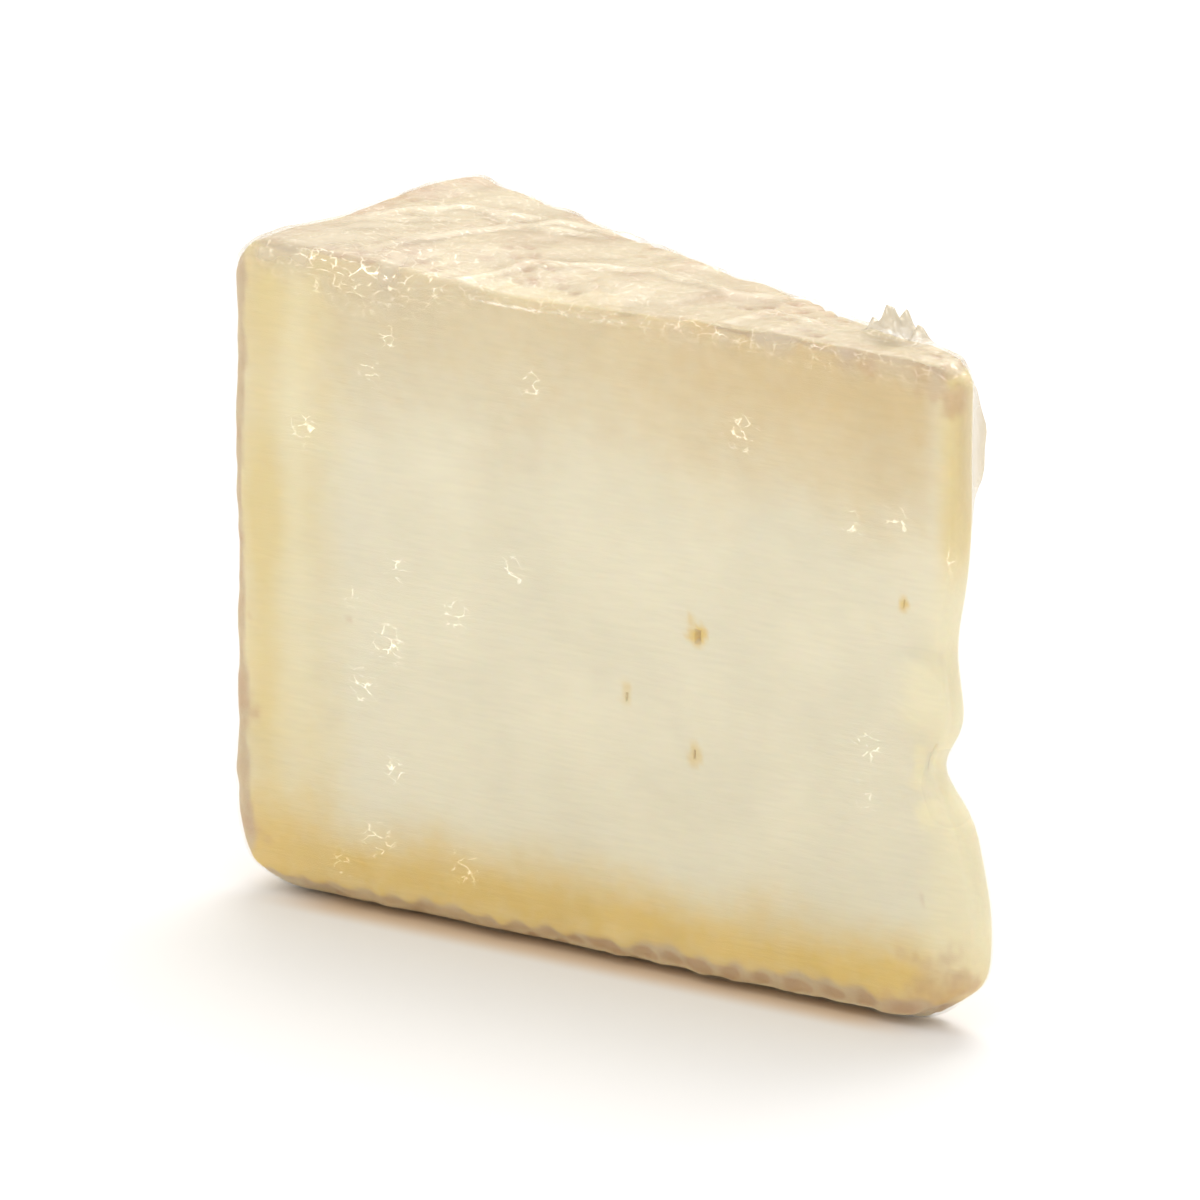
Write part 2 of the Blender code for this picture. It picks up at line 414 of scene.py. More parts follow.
@dataclass(frozen=True)
class CheeseFinish:
    """Double-cream cow's cheese, mould-ripened and cut with a wire.

    The core is chalky and light in colour; towards the rind it has ripened to a glossier, yellower
    cream.  The rind is a white mould felt, tan where a draining mat pressed it down.  The brown of
    the blotches also darkens the lowest millimetre of the foot, as painted shade, and two light
    patches at the notch are painted highlights.  The wire's drag lines and the felt's hairs are
    finer than 0.1 mm, and are drawn 0.35 mm apart so that they show.
    """

    core: str = "E7DFC1"
    cream: str = "E2C26A"
    tan: str = "DAC18A"
    # light colour of the paste near the point and rim, also used for painted highlights at the
    # notch
    gold: str = "E4D090"
    pale_and_highlight: str = "F0E7BE"
    rind_ridge: str = "D3C199"
    rind_valley: str = "BF9E74"
    # brown of the blotches, also used as painted shade along the foot
    blush_and_foot_shade: str = "C49A70"
    roughness: float = 0.48
    ior: float = 1.45
    scattered: float = 0.30
    scatter_reach: float = 2.5 * MM
    scatter_share: tuple[float, float, float] = (1.0, 0.6, 0.3)
    grain_strength: float = 0.45
    grain_depth: float = 0.09 * MM
    drag_line: float = 0.35 * MM
    drag_length: float = 3.5 * MM
    mould_felt: float = 0.35 * MM
    curd: float = 2.4 * MM
    cloud: float = 13.0 * MM

    def build(self) -> bpy.types.Material:
        """Make the material.

        Returns:
            The material, with all its nodes.
        """
        material, tree = new_tree("double-cream cheese, mould-ripened, wire-cut")
        place = add_node(tree, "ShaderNodeTexCoord").outputs["Object"]
        masks = {name: add_node(tree, "ShaderNodeAttribute", attribute_name=name).outputs["Fac"]
                 for name in ("rind", "valley", "cream", "tan", "gold", "pale_and_highlight", "blush_and_foot_shade")}
        curd = add_node(tree, "ShaderNodeTexNoise",
                        {"Vector": place, "Scale": 1.0 / self.curd, "Detail": 4.0,
                         "Roughness": 0.6}).outputs["Fac"]
        cloud = add_node(tree, "ShaderNodeTexNoise",
                         {"Vector": place, "Scale": 1.0 / self.cloud, "Detail": 2.0}
                         ).outputs["Fac"]
        stretched = add_node(tree, "ShaderNodeMapping", {
            "Vector": place,
            "Scale": (self.drag_line / self.drag_length, 1.0, 1.0)}).outputs[0]
        drag = add_node(tree, "ShaderNodeTexNoise",
                        {"Vector": stretched, "Scale": 1.0 / self.drag_line, "Detail": 3.0}
                        ).outputs["Fac"]
        felt = add_node(tree, "ShaderNodeTexNoise",
                        {"Vector": place, "Scale": 1.0 / self.mould_felt, "Detail": 3.0}
                        ).outputs["Fac"]

        def broken(name: str, amount: float) -> bpy.types.NodeSocket:
            """Break up a mask's middle tones by the curds.

            Args:
                name: The mask's name.
                amount: How much the curds change it.

            Returns:
                The broken mask, from 0 to 1.
            """
            swing = add_node(tree, "ShaderNodeMath", {0: curd, 1: 0.5}, operation="SUBTRACT")
            swing = add_node(tree, "ShaderNodeMath", {0: swing.outputs[0], 1: amount},
                             operation="MULTIPLY")
            gate = add_node(tree, "ShaderNodeMath", {0: masks[name], 1: 4.0},
                            operation="MULTIPLY", use_clamp=True)
            swing = add_node(tree, "ShaderNodeMath", {0: swing.outputs[0], 1: gate.outputs[0]},
                             operation="MULTIPLY")
            return add_node(tree, "ShaderNodeMath", {0: masks[name], 1: swing.outputs[0]},
                            operation="ADD", use_clamp=True).outputs[0]

        def laid(share: bpy.types.NodeSocket, first: bpy.types.NodeSocket | str,
                 second: str) -> bpy.types.NodeSocket:
            """Lay a colour over another by a mask.

            Args:
                share: The mask.
                first: The colour below, as hex or as a socket.
                second: The colour on top, as hex.

            Returns:
                The mixed colour.
            """
            if isinstance(first, str):
                first = linear_colour(first)
            return add_node(tree, "ShaderNodeMix", {0: share, 6: first, 7: linear_colour(second)},
                            data_type="RGBA").outputs[2]

        paste = laid(broken("tan", 0.5), self.core, self.tan)
        paste = laid(broken("gold", 0.4), paste, self.gold)
        paste = laid(broken("cream", 0.5), paste, self.cream)
        paste = laid(masks["pale_and_highlight"], paste, self.pale_and_highlight)
        skin = laid(broken("valley", 0.9), self.rind_ridge, self.rind_valley)
        colour = add_node(tree, "ShaderNodeMix", {0: broken("rind", 0.6), 6: paste, 7: skin},
                          data_type="RGBA").outputs[2]
        # brown blotches, and painted shade along the lowest 0.9 mm of the foot
        colour = laid(broken("blush_and_foot_shade", 1.0), colour, self.blush_and_foot_shade)
        tone = add_node(tree, "ShaderNodeMapRange", {
            "Value": cloud, "From Min": 0.3, "From Max": 0.7, "To Min": 0.955, "To Max": 1.03})
        fine = add_node(tree, "ShaderNodeMapRange", {
            "Value": drag, "From Min": 0.3, "From Max": 0.7, "To Min": 0.97, "To Max": 1.02})
        tone = add_node(tree, "ShaderNodeMath", {0: tone.outputs[0], 1: fine.outputs[0]},
                        operation="MULTIPLY").outputs[0]
        colour = add_node(tree, "ShaderNodeVectorMath", {0: colour, "Scale": tone},
                          operation="SCALE").outputs[0]

        grain = add_node(tree, "ShaderNodeMix",
                         {0: masks["rind"], 2: drag, 3: felt}).outputs[0]
        relief = add_node(tree, "ShaderNodeBump", {
            "Height": grain, "Strength": self.grain_strength, "Distance": self.grain_depth})
        shader = add_node(tree, "ShaderNodeBsdfPrincipled", {
            "Base Color": colour, "Roughness": self.roughness,
            "Subsurface Weight": self.scattered, "Subsurface Radius": self.scatter_share,
            "Subsurface Scale": self.scatter_reach, "IOR": self.ior,
            "Normal": relief.outputs[0]})
        add_node(tree, "ShaderNodeOutputMaterial", {"Surface": shader.outputs[0]})
        return material


@dataclass(frozen=True)
class FilmFinish:
    """PVC cling film, cast and stretched: clear, very glossy, milky where it bunches.

    Its finest wrinkles are too thin to show, so the bright strokes that stand for them are
    drawn about 0.1 mm wide: `stroke_width` is half of that, as a share of one crinkle.
    """

    milk: str = "EDE3CC"
    spark: str = "A2A29E"
    ior: float = 1.53
    roughness: float = 0.09
    crinkled_roughness: float = 0.40
    most_mirrored: float = 0.08
    bunched_roughness: float = 0.50
    bunched_sheen: float = 0.32
    stroke_roughness: float = 0.32
    stroke_width: float = 0.045
    crinkle: float = 1.15 * MM
    crinkle_depth: float = 0.08 * MM
    ripple: float = 7.0 * MM
    ripple_depth: float = 0.05 * MM

    def build(self) -> bpy.types.Material:
        """Make the material.

        Returns:
            The material, with all its nodes.
        """
        material, tree = new_tree("PVC cling film, stretched")
        place = add_node(tree, "ShaderNodeTexCoord").outputs["Object"]
        masks = {name: add_node(tree, "ShaderNodeAttribute", attribute_name=name).outputs["Fac"]
                 for name in ("milk", "crinkle", "glint")}
        drawn = add_node(tree, "ShaderNodeMapping",
                         {"Vector": place, "Scale": (0.55, 1.0, 1.0)}).outputs[0]
        bend = add_node(tree, "ShaderNodeTexNoise", {
            "Vector": place, "Scale": 0.7 / self.crinkle, "Detail": 2.0}).outputs["Color"]
        bend = add_node(tree, "ShaderNodeVectorMath", {0: bend, "Scale": 0.9 * self.crinkle},
                        operation="SCALE").outputs[0]
        drawn = add_node(tree, "ShaderNodeVectorMath", {0: drawn, 1: bend},
                         operation="ADD").outputs[0]
        fold = add_node(tree, "ShaderNodeTexVoronoi", {
            "Vector": drawn, "Scale": 1.0 / self.crinkle},
            feature="DISTANCE_TO_EDGE").outputs["Distance"]
        height = add_node(tree, "ShaderNodeMath", {0: fold, 1: masks["crinkle"]},
                          operation="MULTIPLY").outputs[0]
        ripple = add_node(tree, "ShaderNodeTexNoise", {
            "Vector": place, "Scale": 1.0 / self.ripple, "Detail": 1.0}).outputs["Fac"]
        waves = add_node(tree, "ShaderNodeBump", {
            "Height": ripple, "Strength": 1.0, "Distance": self.ripple_depth}).outputs[0]
        relief = add_node(tree, "ShaderNodeBump", {
            "Height": height, "Strength": 1.0, "Distance": self.crinkle_depth * 2.0,
            "Normal": waves}).outputs[0]
        tilt = add_node(tree, "ShaderNodeLayerWeight", {"Blend": 0.5, "Normal": relief})
        straight_on = ((self.ior - 1.0) / (self.ior + 1.0)) ** 2
        grazing = add_node(tree, "ShaderNodeMath", {0: tilt.outputs["Facing"], 1: 5.0},
                           operation="POWER").outputs[0]
        mirrored = add_node(tree, "ShaderNodeMath", {
            0: grazing, 1: 1.0 - straight_on, 2: straight_on}, operation="MULTIPLY_ADD")
        mirrored = add_node(tree, "ShaderNodeMath", {0: mirrored.outputs[0], 1: self.most_mirrored},
                            operation="MINIMUM").outputs[0]
        frosted = add_node(tree, "ShaderNodeMath", {
            0: masks["crinkle"], 1: self.crinkled_roughness, 2: self.roughness},
            operation="MULTIPLY_ADD").outputs[0]
        gloss = add_node(tree, "ShaderNodeBsdfGlossy",
                         {"Roughness": frosted, "Normal": relief})
        clear = add_node(tree, "ShaderNodeBsdfTransparent")
        sheet = add_node(tree, "ShaderNodeMixShader", {
            0: mirrored, 1: clear.outputs[0], 2: gloss.outputs[0]})
        lit = add_node(tree, "ShaderNodeBsdfDiffuse", {"Color": linear_colour(self.milk)})
        sheen = add_node(tree, "ShaderNodeBsdfGlossy", {
            "Color": linear_colour(self.milk), "Roughness": self.bunched_roughness})
        milk = add_node(tree, "ShaderNodeMixShader",
                        {0: self.bunched_sheen, 1: lit.outputs[0], 2: sheen.outputs[0]})
        stroke = add_node(tree, "ShaderNodeMapRange", {
            "Value": fold, "From Min": 0.0, "From Max": self.stroke_width,
            "To Min": 1.0, "To Max": 0.0}).outputs[0]
        breaks = add_node(tree, "ShaderNodeTexNoise", {
            "Vector": place, "Scale": 1.5 / self.crinkle, "Detail": 1.0}).outputs["Fac"]
        breaks = add_node(tree, "ShaderNodeMapRange", {
            "Value": breaks, "From Min": 0.45, "From Max": 0.55,
            "To Min": 0.0, "To Max": 1.0}).outputs[0]
        stroke = add_node(tree, "ShaderNodeMath", {0: stroke, 1: breaks}, operation="MULTIPLY")
        stroke = add_node(tree, "ShaderNodeMath", {0: stroke.outputs[0], 1: masks["glint"]},
                          operation="MULTIPLY", use_clamp=True).outputs[0]
        bunched = add_node(tree, "ShaderNodeMixShader", {
            0: masks["milk"], 1: sheet.outputs[0], 2: milk.outputs[0]})
        spark = add_node(tree, "ShaderNodeBsdfGlossy", {
            "Color": linear_colour(self.spark), "Roughness": self.stroke_roughness})
        spark = add_node(tree, "ShaderNodeAddShader", {0: clear.outputs[0], 1: spark.outputs[0]})
        whole = add_node(tree, "ShaderNodeMixShader", {
            0: stroke, 1: bunched.outputs[0], 2: spark.outputs[0]})
        add_node(tree, "ShaderNodeOutputMaterial", {"Surface": whole.outputs[0]})
        return material


# --------------------------------------------------------------------------- the cheese


@dataclass(frozen=True)
class SkinMap:
    """Where each vertex of a piece lies on the wedge, as distances from its faces in metres."""

    wheel: np.ndarray
    normals: np.ndarray
    above_foot: np.ndarray
    below_top: np.ndarray
    inside_rim: np.ndarray
    from_tip: np.ndarray
    turn: np.ndarray

    @classmethod
    def read(cls, shape: WedgeShape, wheel: np.ndarray, normals: np.ndarray) -> "SkinMap":
        """Measure the vertices of a piece.

        Args:
            shape: The wedge.
            wheel: The vertices in the wheel's frame.
            normals: Their normals.

        Returns:
            The distances.
        """
        radius = np.hypot(wheel[:, 0], wheel[:, 1])
        turn = np.arctan2(wheel[:, 1], -wheel[:, 0]) / shape.angle
        return cls(wheel, normals, wheel[:, 2], shape.height - wheel[:, 2],
                   shape.wheel_radius - radius, radius - shape.tip_radius, turn)

    @property
    def on_rim(self) -> np.ndarray:
        """How far each vertex belongs to the rim, from 0 to 1."""
        return smooth_step(0.55, 0.85, -self.normals[:, 0])

    @property
    def on_front(self) -> np.ndarray:
        """How far each vertex belongs to the front cut face, from 0 to 1."""
        return smooth_step(0.55, 0.85, -self.normals[:, 1])

    @property
    def on_top(self) -> np.ndarray:
        """How far each vertex belongs to the top, from 0 to 1."""
        return smooth_step(0.60, 0.92, self.normals[:, 2])


def bell(value: np.ndarray, middle: float, width: float) -> np.ndarray:
    """Return a bell curve of height 1 round a middle value."""
    return np.exp(-((value - middle) / width) ** 2)


@dataclass(frozen=True)
class WedgeRelief:
    """How the wedge's real skin strays from its plain shape, in metres along its normals."""

    waviness: float = 0.15 * MM
    edge_slump: float = 0.50 * MM
    foot_lumps: float = 0.26 * MM
    rim_lumps: float = 0.24 * MM
    mat_pitch: tuple[float, float] = (1.9 * MM, 1.7 * MM)
    mat_turn: float = math.radians(9.0)
    foot_oval_pitch: float = 3.9 * MM

    def broad(self, skin: SkinMap) -> np.ndarray:
        """Work out the relief that the film follows too: waves, slumped edges and the lobe.

        Args:
            skin: The vertices.

        Returns:
            How far each vertex stands out, in metres.
        """
        wave = noise_at(skin.wheel, 15.0 * MM, 5.0) * self.waviness
        wave = wave * (1.0 - 0.6 * skin.on_rim)
        wave = wave + noise_at(skin.wheel, 6.0 * MM, 6.0) * 0.05 * MM
        tall = skin.wheel * [1.0, 1.0, 0.35]
        top_edge = np.exp(-(skin.below_top / (2.8 * MM)) ** 2)
        slump = noise_at(tall, 5.5 * MM, 15.0) * self.edge_slump * top_edge * (
            1.0 - 0.6 * skin.on_top)
        foot_edge = smooth_step(6.0 * MM, 0.8 * MM, skin.above_foot)
        foot = noise_at(tall, 3.8 * MM, 25.0, octaves=2) * self.foot_lumps * foot_edge
        near_rim = smooth_step(4.0 * MM, 0.5 * MM, skin.inside_rim)
        near_rim = near_rim * (0.25 + 0.75 * smooth_step(48.0 * MM, 30.0 * MM, skin.above_foot))
        rim = noise_at(skin.wheel * [1.0, 1.0, 0.8], 6.0 * MM, 8.8, octaves=2)
        return wave + slump + foot - rim * self.rim_lumps * near_rim + self._point_lobe(skin)

    def mat_marks(self, skin: SkinMap) -> np.ndarray:
        """Work out how deep the draining mat pressed the top and the foot.

        Args:
            skin: The vertices.

        Returns:
            The depth at each vertex, from 0 to 1.
        """
        flat = skin.wheel * [1.0, 1.0, 0.0]
        warp = noise_at(flat, 9.0 * MM, 3.7) * 1.3 * MM
        warp_too = noise_at(flat, 7.0 * MM, 11.3) * 1.3 * MM
        turn_cos, turn_sin = math.cos(self.mat_turn), math.sin(self.mat_turn)
        along = skin.wheel[:, 0] * turn_cos + skin.wheel[:, 1] * turn_sin + warp
        over = skin.wheel[:, 1] * turn_cos - skin.wheel[:, 0] * turn_sin + warp_too
        weave = np.cos(math.pi * along / self.mat_pitch[0]) * np.cos(
            math.pi * over / self.mat_pitch[1])
        fade = smooth_step(-0.5, 0.7, noise_at(skin.wheel, 8.0 * MM, 21.0))
        return smooth_step(0.0, 0.9, weave + 0.25 * noise_at(flat, 1.8 * MM, 22.0)) * fade

    def foot_ovals(self, skin: SkinMap) -> np.ndarray:
        """Work out the row of pressed ovals just above the foot of each cut face.

        Args:
            skin: The vertices.

        Returns:
            The depth at each vertex, from 0 to about 1.
        """
        along = skin.from_tip + noise_at(skin.wheel, 9.0 * MM, 77.0) * 2.8 * MM
        step = (along / self.foot_oval_pitch + 0.5) % 1.0 - 0.5
        sideways = step * self.foot_oval_pitch / (1.35 * MM)
        upward = (skin.above_foot - 1.35 * MM) / (0.95 * MM)
        reach = np.hypot(sideways, upward) * (1.0 + 0.35 * noise_at(skin.wheel, 1.8 * MM, 78.0))
        strength = 0.32 + 0.75 * smooth_step(60.0 * MM, 40.0 * MM, skin.from_tip)
        strength *= 0.85 + 0.45 * noise_at(skin.wheel, 6.0 * MM, 79.0)
        return smooth_step(1.25, 0.45, reach) * strength

    def rim_dents(self, skin: SkinMap) -> np.ndarray:
        """Return the broader dents of the rim, where the wheel stood in its hoop, 0 to 1."""
        squeezed = skin.wheel * [1.0, 1.0, 0.75]
        return smooth_step(-0.25, 1.0, noise_at(squeezed, 4.6 * MM, 8.8, octaves=2))

    def _point_lobe(self, skin: SkinMap) -> np.ndarray:
        """Work out the relief near the point: a ledge with a soft lobe below, and the notch.

        Args:
            skin: The vertices.

        Returns:
            How far each vertex stands out, in metres.
        """
        near = smooth_step(9.0 * MM, 4.0 * MM, skin.from_tip)
        height = skin.above_foot + 0.8 * MM * noise_at(skin.wheel, 5.0 * MM, 19.0)
        ledge = smooth_step(0.0396, 0.0388, height) * smooth_step(0.0300, 0.0345, height)
        pit = bell(skin.from_tip, 0.0040, 0.0020) * bell(skin.above_foot, 0.0284, 0.0017)
        shelf = bell(skin.from_tip, 0.0042, 0.0024) * bell(skin.above_foot, 0.0243, 0.0012)
        return skin.on_front * (0.70 * MM * ledge * near - 0.95 * MM * pit - 0.40 * MM * shelf)


@dataclass(frozen=True)
class Blotch:
    """A patch of another colour: centre in the part's frame, radius and strength."""

    centre: tuple[float, float, float]
    radius: float
    strength: float
    flatness: float = 1.0
    mask: str = "blush_and_foot_shade"

    def cover(self, points: np.ndarray) -> np.ndarray:
        """Work out how strongly the patch covers each point, with a ragged edge.

        Args:
            points: Points in the part's frame, as an (n, 3) array.

        Returns:
            The cover at each point, from 0 to 1.
        """
        away = (points - np.array(self.centre)) * np.array([1.0, 1.0, self.flatness])
        reach = np.linalg.norm(away, axis=1)
        reach *= 1.0 + 0.45 * noise_at(points, 2.2 * MM, 51.0, octaves=2)
        return self.strength * smooth_step(self.radius, 0.35 * self.radius, reach)


BLOTCHES = (
    Blotch((0.0438, -0.0168, 0.0668), 2.6 * MM, 0.55),
    Blotch((0.0450, -0.0165, 0.0640), 1.7 * MM, 0.45),
    Blotch((0.0408, -0.0168, 0.0676), 1.9 * MM, 0.35),
    Blotch((0.0331, -0.0168, 0.0688), 1.5 * MM, 0.50),
    Blotch((0.0310, -0.0160, 0.0700), 2.2 * MM, 0.25),
    Blotch((0.0418, -0.0165, 0.0038), 2.4 * MM, 0.55),
    Blotch((0.0446, -0.0160, 0.0058), 2.4 * MM, 0.60),
    Blotch((0.0388, -0.0168, 0.0026), 2.4 * MM, 0.40),
    Blotch((0.0450, -0.0150, 0.0030), 3.0 * MM, 0.45),
    Blotch((0.0425, -0.0160, 0.0045), 4.6 * MM, 0.42),
    Blotch((0.0360, -0.0168, 0.0018), 2.6 * MM, 0.30),
    Blotch((0.0121, -0.0168, 0.0369), 1.2 * MM, 1.0, 0.7, "cream"),
    Blotch((0.0113, -0.0168, 0.0386), 0.9 * MM, 0.5, 0.6, "cream"),
    Blotch((0.0376, -0.0168, 0.0447), 1.0 * MM, 0.9, 1.0, "cream"),
    Blotch((0.0119, -0.0168, 0.0245), 0.9 * MM, 0.6, 0.5, "cream"),
    Blotch((0.0035, -0.0168, 0.0291), 0.9 * MM, 0.5, 0.6, "cream"),
    Blotch((0.0425, -0.0155, 0.0275), 1.6 * MM, 1.0, 1.0, "gold"),
    # painted highlights: two light patches standing for the bright facets of film at the notch
    Blotch((0.0412, -0.0168, 0.0235), 1.9 * MM, 1.0, 0.8, "pale_and_highlight"),
    Blotch((0.0393, -0.0168, 0.0280), 1.0 * MM, 0.9, 0.3, "pale_and_highlight"),
    Blotch((-0.0425, 0.0010, 0.0690), 4.2 * MM, 0.50),
    Blotch((-0.0405, 0.0070, 0.0700), 5.0 * MM, 0.55),
    Blotch((-0.0370, 0.0130, 0.0700), 4.0 * MM, 0.34),
    Blotch((-0.0200, 0.0090, 0.0700), 4.5 * MM, 0.22),
    Blotch((0.0000, -0.0010, 0.0700), 4.0 * MM, 0.22),
    Blotch((0.0180, -0.0070, 0.0700), 4.0 * MM, 0.20),
    Blotch((-0.0460, -0.0166, 0.0215), 2.1 * MM, 0.42, 0.6),
    Blotch((-0.0440, -0.0168, 0.0190), 1.2 * MM, 0.45),
    Blotch((-0.0445, -0.0168, 0.0068), 1.7 * MM, 0.40),
    Blotch((-0.0462, -0.0165, 0.0310), 1.3 * MM, 0.35),
    Blotch((-0.0462, -0.0165, 0.0380), 1.0 * MM, 0.35),
    Blotch((-0.0463, -0.0165, 0.0490), 1.0 * MM, 0.30),
)


@dataclass
class CheeseWedge:
    """The cheese: mould rind and paste, one piece.

    Each of its eyes is x and z on the front cut face, in metres, and a relative size.
    """

    shape: WedgeShape
    place: WheelPlace
    cells: tuple[tuple[int, int], ...] = ((19, 10), (7, 10), (13, 10))
    crowding: tuple[float, float, float] = (0.10, 0.10, 0.15)
    relief: WedgeRelief = field(default_factory=WedgeRelief)
    mat_depth: float = 0.30 * MM
    eyes: tuple[tuple[float, float, float], ...] = (
        (0.0121, 0.0369, 1.2), (0.0376, 0.0447, 0.8), (0.0119, 0.0245, 0.8),
        (0.0035, 0.0291, 0.8))
    finish: CheeseFinish = field(default_factory=CheeseFinish)

    def _masks(self, skin: SkinMap, points: np.ndarray) -> dict[str, np.ndarray]:
        """Work out the masks that the finish reads.

        Args:
            skin: The vertices.
            points: The vertices in the part's frame.

        Returns:
            The masks by name, each with one value from 0 to 1 for each vertex.
        """
        broad = noise_at(skin.wheel, 12.0 * MM, 41.0)
        small = noise_at(skin.wheel, 4.5 * MM, 31.0, octaves=2)
        row = np.cos(2.0 * math.pi * skin.from_tip / self.relief.foot_oval_pitch)
        growing = smooth_step(75.0 * MM, 25.0 * MM, skin.from_tip)
        thick_foot = (1.7 + 0.9 * growing + 0.30 * row + 0.45 * small) * MM
        thick_rim = (1.9 + 0.5 * small + 0.9 * bell(skin.above_foot, 0.006, 0.008)) * MM
        thick_top = (0.9 + 0.45 * small) * MM
        depth = np.minimum.reduce([skin.above_foot / thick_foot, skin.below_top / thick_top,
                                   skin.inside_rim / thick_rim])
        rind = smooth_step(1.15, 0.80, depth)
        marks = self.relief.mat_marks(skin)
        near_flat = np.maximum(skin.on_top, smooth_step(-0.5, -0.9, skin.normals[:, 2]))
        valley = np.maximum(marks * near_flat, self.relief.foot_ovals(skin) * (1.0 - near_flat))
        valley = valley * (1.0 - skin.on_rim) + 0.5 * self.relief.rim_dents(skin) * skin.on_rim
        patchy = 0.50 * near_flat * smooth_step(-0.1, 0.8, noise_at(skin.wheel, 7.0 * MM, 23.0))
        side_blush = 0.35 * (1.0 - near_flat) + patchy
        valley = np.clip(valley + side_blush, 0.0, 1.0)
        wobble = 1.0 + 0.18 * broad + 0.05 * small
        cream = smooth_step(13.5 * MM, 4.0 * MM, skin.above_foot * wobble)
        cream *= 0.80 + 0.20 * bell(skin.above_foot, 0.0048, 0.0026)
        tan = smooth_step(24.0 * MM, 3.0 * MM, skin.below_top * wobble)
        tan *= 0.55 + 0.45 * smooth_step(60.0 * MM, 12.0 * MM, skin.from_tip)
        tan *= smooth_step(0.5 * MM, 5.0 * MM, skin.from_tip)
        ring = skin.inside_rim * (1.0 + 0.10 * broad)
        drift = 1.0 + 0.5 * noise_at(skin.wheel, 16.0 * MM, 43.0)
        gold = (0.50 * drift * bell(ring, 0.0044, 0.0022)
                + 0.42 * drift * smooth_step(17.0 * MM, 9.5 * MM, ring))
        tip_gold = 0.9 * smooth_step(3.4 * MM, 0.8 * MM, skin.from_tip) * smooth_step(
            0.042, 0.054, skin.above_foot)
        gold = np.clip(np.maximum(gold, tip_gold), 0.0, 1.0)
        pale_and_highlight = 0.70 * smooth_step(6.0 * MM, 0.6 * MM, skin.from_tip * wobble)
        pale_and_highlight = pale_and_highlight * smooth_step(0.052, 0.040, skin.above_foot) * smooth_step(
            0.002, 0.008, skin.above_foot)
        below_ledge = smooth_step(0.0392, 0.0380, skin.above_foot) * smooth_step(
            0.0295, 0.0330, skin.above_foot)
        pale_and_highlight = np.maximum(pale_and_highlight, 0.65 * below_ledge * smooth_step(
            8.5 * MM, 4.5 * MM, skin.from_tip))
        pale_and_highlight = np.maximum(pale_and_highlight, 0.35 * bell(ring, 0.0082, 0.0018) * smooth_step(
            0.012, 0.03, skin.above_foot))
        # the brown mask: painted shade darkens the foot's lowest 0.9 mm; the blotches add real
        # brown patches on top
        masks = {"rind": rind, "valley": valley, "cream": cream, "tan": tan, "gold": gold,
                 "pale_and_highlight": pale_and_highlight, "blush_and_foot_shade": 0.15 * smooth_step(0.9 * MM, 0.1 * MM, skin.above_foot)}
        for blotch in BLOTCHES:
            masks[blotch.mask] = np.maximum(masks[blotch.mask], blotch.cover(points))
        return masks

    def build(self) -> bpy.types.Object:
        """Model the cheese and dress it.

        Returns:
            The finished cheese.
        """
        cheese = box_grid("cheese", self.shape.half_size, self.cells, self.crowding)
        wheel = self.shape.carry(read_points(cheese))
        write_points(cheese, wheel + self.place.origin)
        normals = read_normals(cheese)
        skin = SkinMap.read(self.shape, wheel, normals)
        masks = self._masks(skin, wheel + self.place.origin)
        rough_rind = noise_at(wheel, 2.6 * MM, 9.0, octaves=2) * 0.06 * MM * masks["rind"]
        sink = masks["valley"] * masks["rind"] * self.mat_depth
        lift = self.relief.broad(skin) + rough_rind - 0.06 * MM - sink
        grip = smooth_step(0.0, 0.9 * MM, skin.above_foot)
        points = wheel + self.place.origin + normals * (lift * grip)[:, None]
        points[:, 2] = np.maximum(points[:, 2], 0.06 * MM)
        write_points(cheese, points)
        for name, values in masks.items():
            write_attribute(cheese, name, values)
        self._open_eyes(cheese)
        bpy.ops.object.shade_smooth()
        cheese.data.materials.append(self.finish.build())
        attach(cheese, "root")
        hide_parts("cheese_wedge")
        return cheese

    def _open_eyes(self, cheese: bpy.types.Object) -> None:
        """Open the small gas holes of the front cut face.

        Args:
            cheese: The cheese, already in its shape.
        """
        make_active(cheese)
        bpy.ops.object.mode_set(mode="EDIT")
        bpy.ops.mesh.select_mode(type="FACE")
        for x_at, z_at, size in self.eyes:
            bpy.ops.mesh.select_all(action="DESELECT")
            bm = bmesh.from_edit_mesh(cheese.data)
            middle = Vector((x_at, self.place.origin[1], z_at))
            for face in bm.faces:
                away = face.calc_center_median() - middle
                if math.hypot(away.x, away.y * 0.3, away.z * 0.6) < 0.42 * MM * size:
                    face.select_set(True)
            bmesh.update_edit_mesh(cheese.data)
            bpy.ops.mesh.inset(thickness=0.08 * MM)
            bpy.ops.mesh.extrude_region_move(
                TRANSFORM_OT_translate={"value": (0.0, 0.55 * MM * size, 0.0)})
            bpy.ops.transform.resize(value=(0.6, 0.3, 0.6))
        bpy.ops.object.mode_set(mode="OBJECT")


# --------------------------------------------------------------------------- the film


